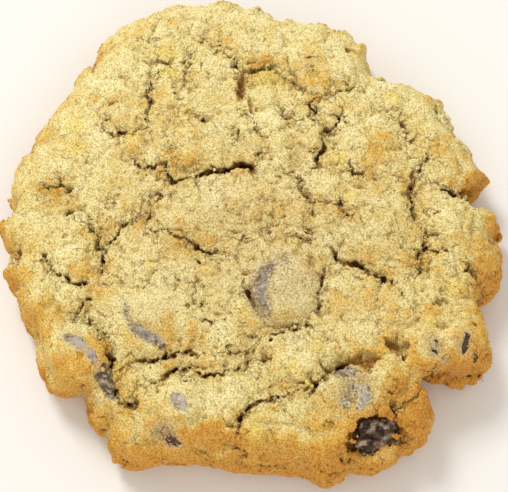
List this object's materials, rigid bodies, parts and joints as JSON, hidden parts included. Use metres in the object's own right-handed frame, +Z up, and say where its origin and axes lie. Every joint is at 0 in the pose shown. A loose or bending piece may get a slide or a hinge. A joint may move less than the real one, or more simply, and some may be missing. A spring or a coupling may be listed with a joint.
{
  "type": "peanut butter chocolate chip cookie",
  "caption": "Round thick baked cookie with a lobed rim, a cracked craggy top and chocolate chips sunk into it, lying on its flat underside.",
  "frame": {"origin": "middle of the flat underside, at the centre of the outline seen from above", "axes": "+Z up out of the cracked top; -Y towards the side whose wall the picture shows; +X to the right of that view"},
  "size_m": [0.0935, 0.0963, 0.0175],
  "materials": {
    "dough": "baked peanut butter dough, dry and sandy, straw coloured on top and golden brown at the rim and underside",
    "chocolate": "dark chocolate with a dull greyish bloom from the oven"
  },
  "bodies": {
    "root": {"dough": "dough", "chip_centre": "chocolate", "chip_right": "chocolate", "chip_front_right": "chocolate", "chip_left_streak": "chocolate", "chip_left_edge": "chocolate", "chip_low_left_a": "chocolate", "chip_low_left_b": "chocolate", "chip_right_edge_a": "chocolate", "chip_right_edge_b": "chocolate"}
  },
  "joints": []
}
